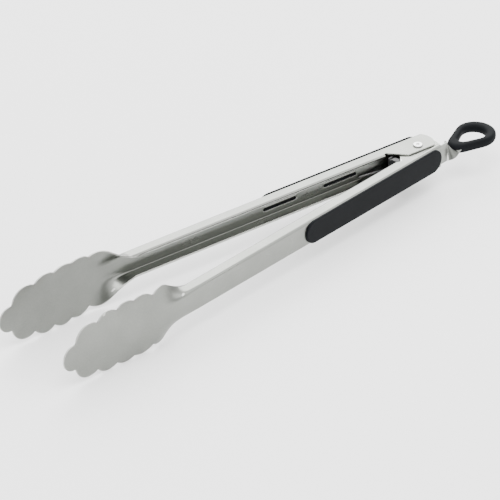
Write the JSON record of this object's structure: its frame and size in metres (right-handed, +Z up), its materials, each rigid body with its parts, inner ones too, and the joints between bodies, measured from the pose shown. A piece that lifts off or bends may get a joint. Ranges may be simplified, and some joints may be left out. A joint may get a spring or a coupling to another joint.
{
  "type": "spring loaded kitchen tongs",
  "caption": "Spring loaded locking kitchen tongs: channel arms with flat scalloped heads, soft inlaid grips, a riveted hinge and a twisted lock tab with a rubber hanging ring.",
  "frame": {"origin": "under the middle of the bounding box, level with the lowest edge of the heads", "axes": "+X from the hang ring towards the heads, along the line halfway between the open arms; +Y towards the front arm, which carries the lock tab; +Z up along the hinge pin"},
  "size_m": [0.3555, 0.0606, 0.0396],
  "materials": {
    "arm_steel": "satin brushed stainless steel",
    "grip_rubber": "matte soft rubber",
    "rivet_steel": "bright formed steel",
    "bush_steel": "plain drawn tube",
    "spring_wire": "drawn spring wire",
    "tab_steel": "satin stainless steel",
    "catch_nylon": "moulded black nylon",
    "ring_rubber": "matte moulded rubber"
  },
  "bodies": {
    "front": {"front_arm": "arm_steel", "front_grip": "grip_rubber", "pivot_rivet": "rivet_steel", "spacer_bush": "bush_steel", "torsion_spring": "spring_wire"},
    "rear": {"rear_arm": "arm_steel", "rear_grip": "grip_rubber"},
    "lock": {"lock_tab": "tab_steel", "lock_block": "catch_nylon", "hang_ring": "ring_rubber"}
  },
  "joints": [
    {"name": "arm_hinge", "type": "hinge", "parent": "front", "child": "rear", "pos_m": [-0.12254, 0, 0.0198], "axis": [0, 0, 1], "range_deg": [0, 10.1], "stiffness_Nm_per_rad": 0.56, "springref_deg": -25.55, "deforming": ["torsion_spring"]},
    {"name": "lock_slide", "type": "slide", "parent": "front", "child": "lock", "axis": [0.9961, 0.0887, 0], "range_m": [0, 0.0055]}
  ]
}
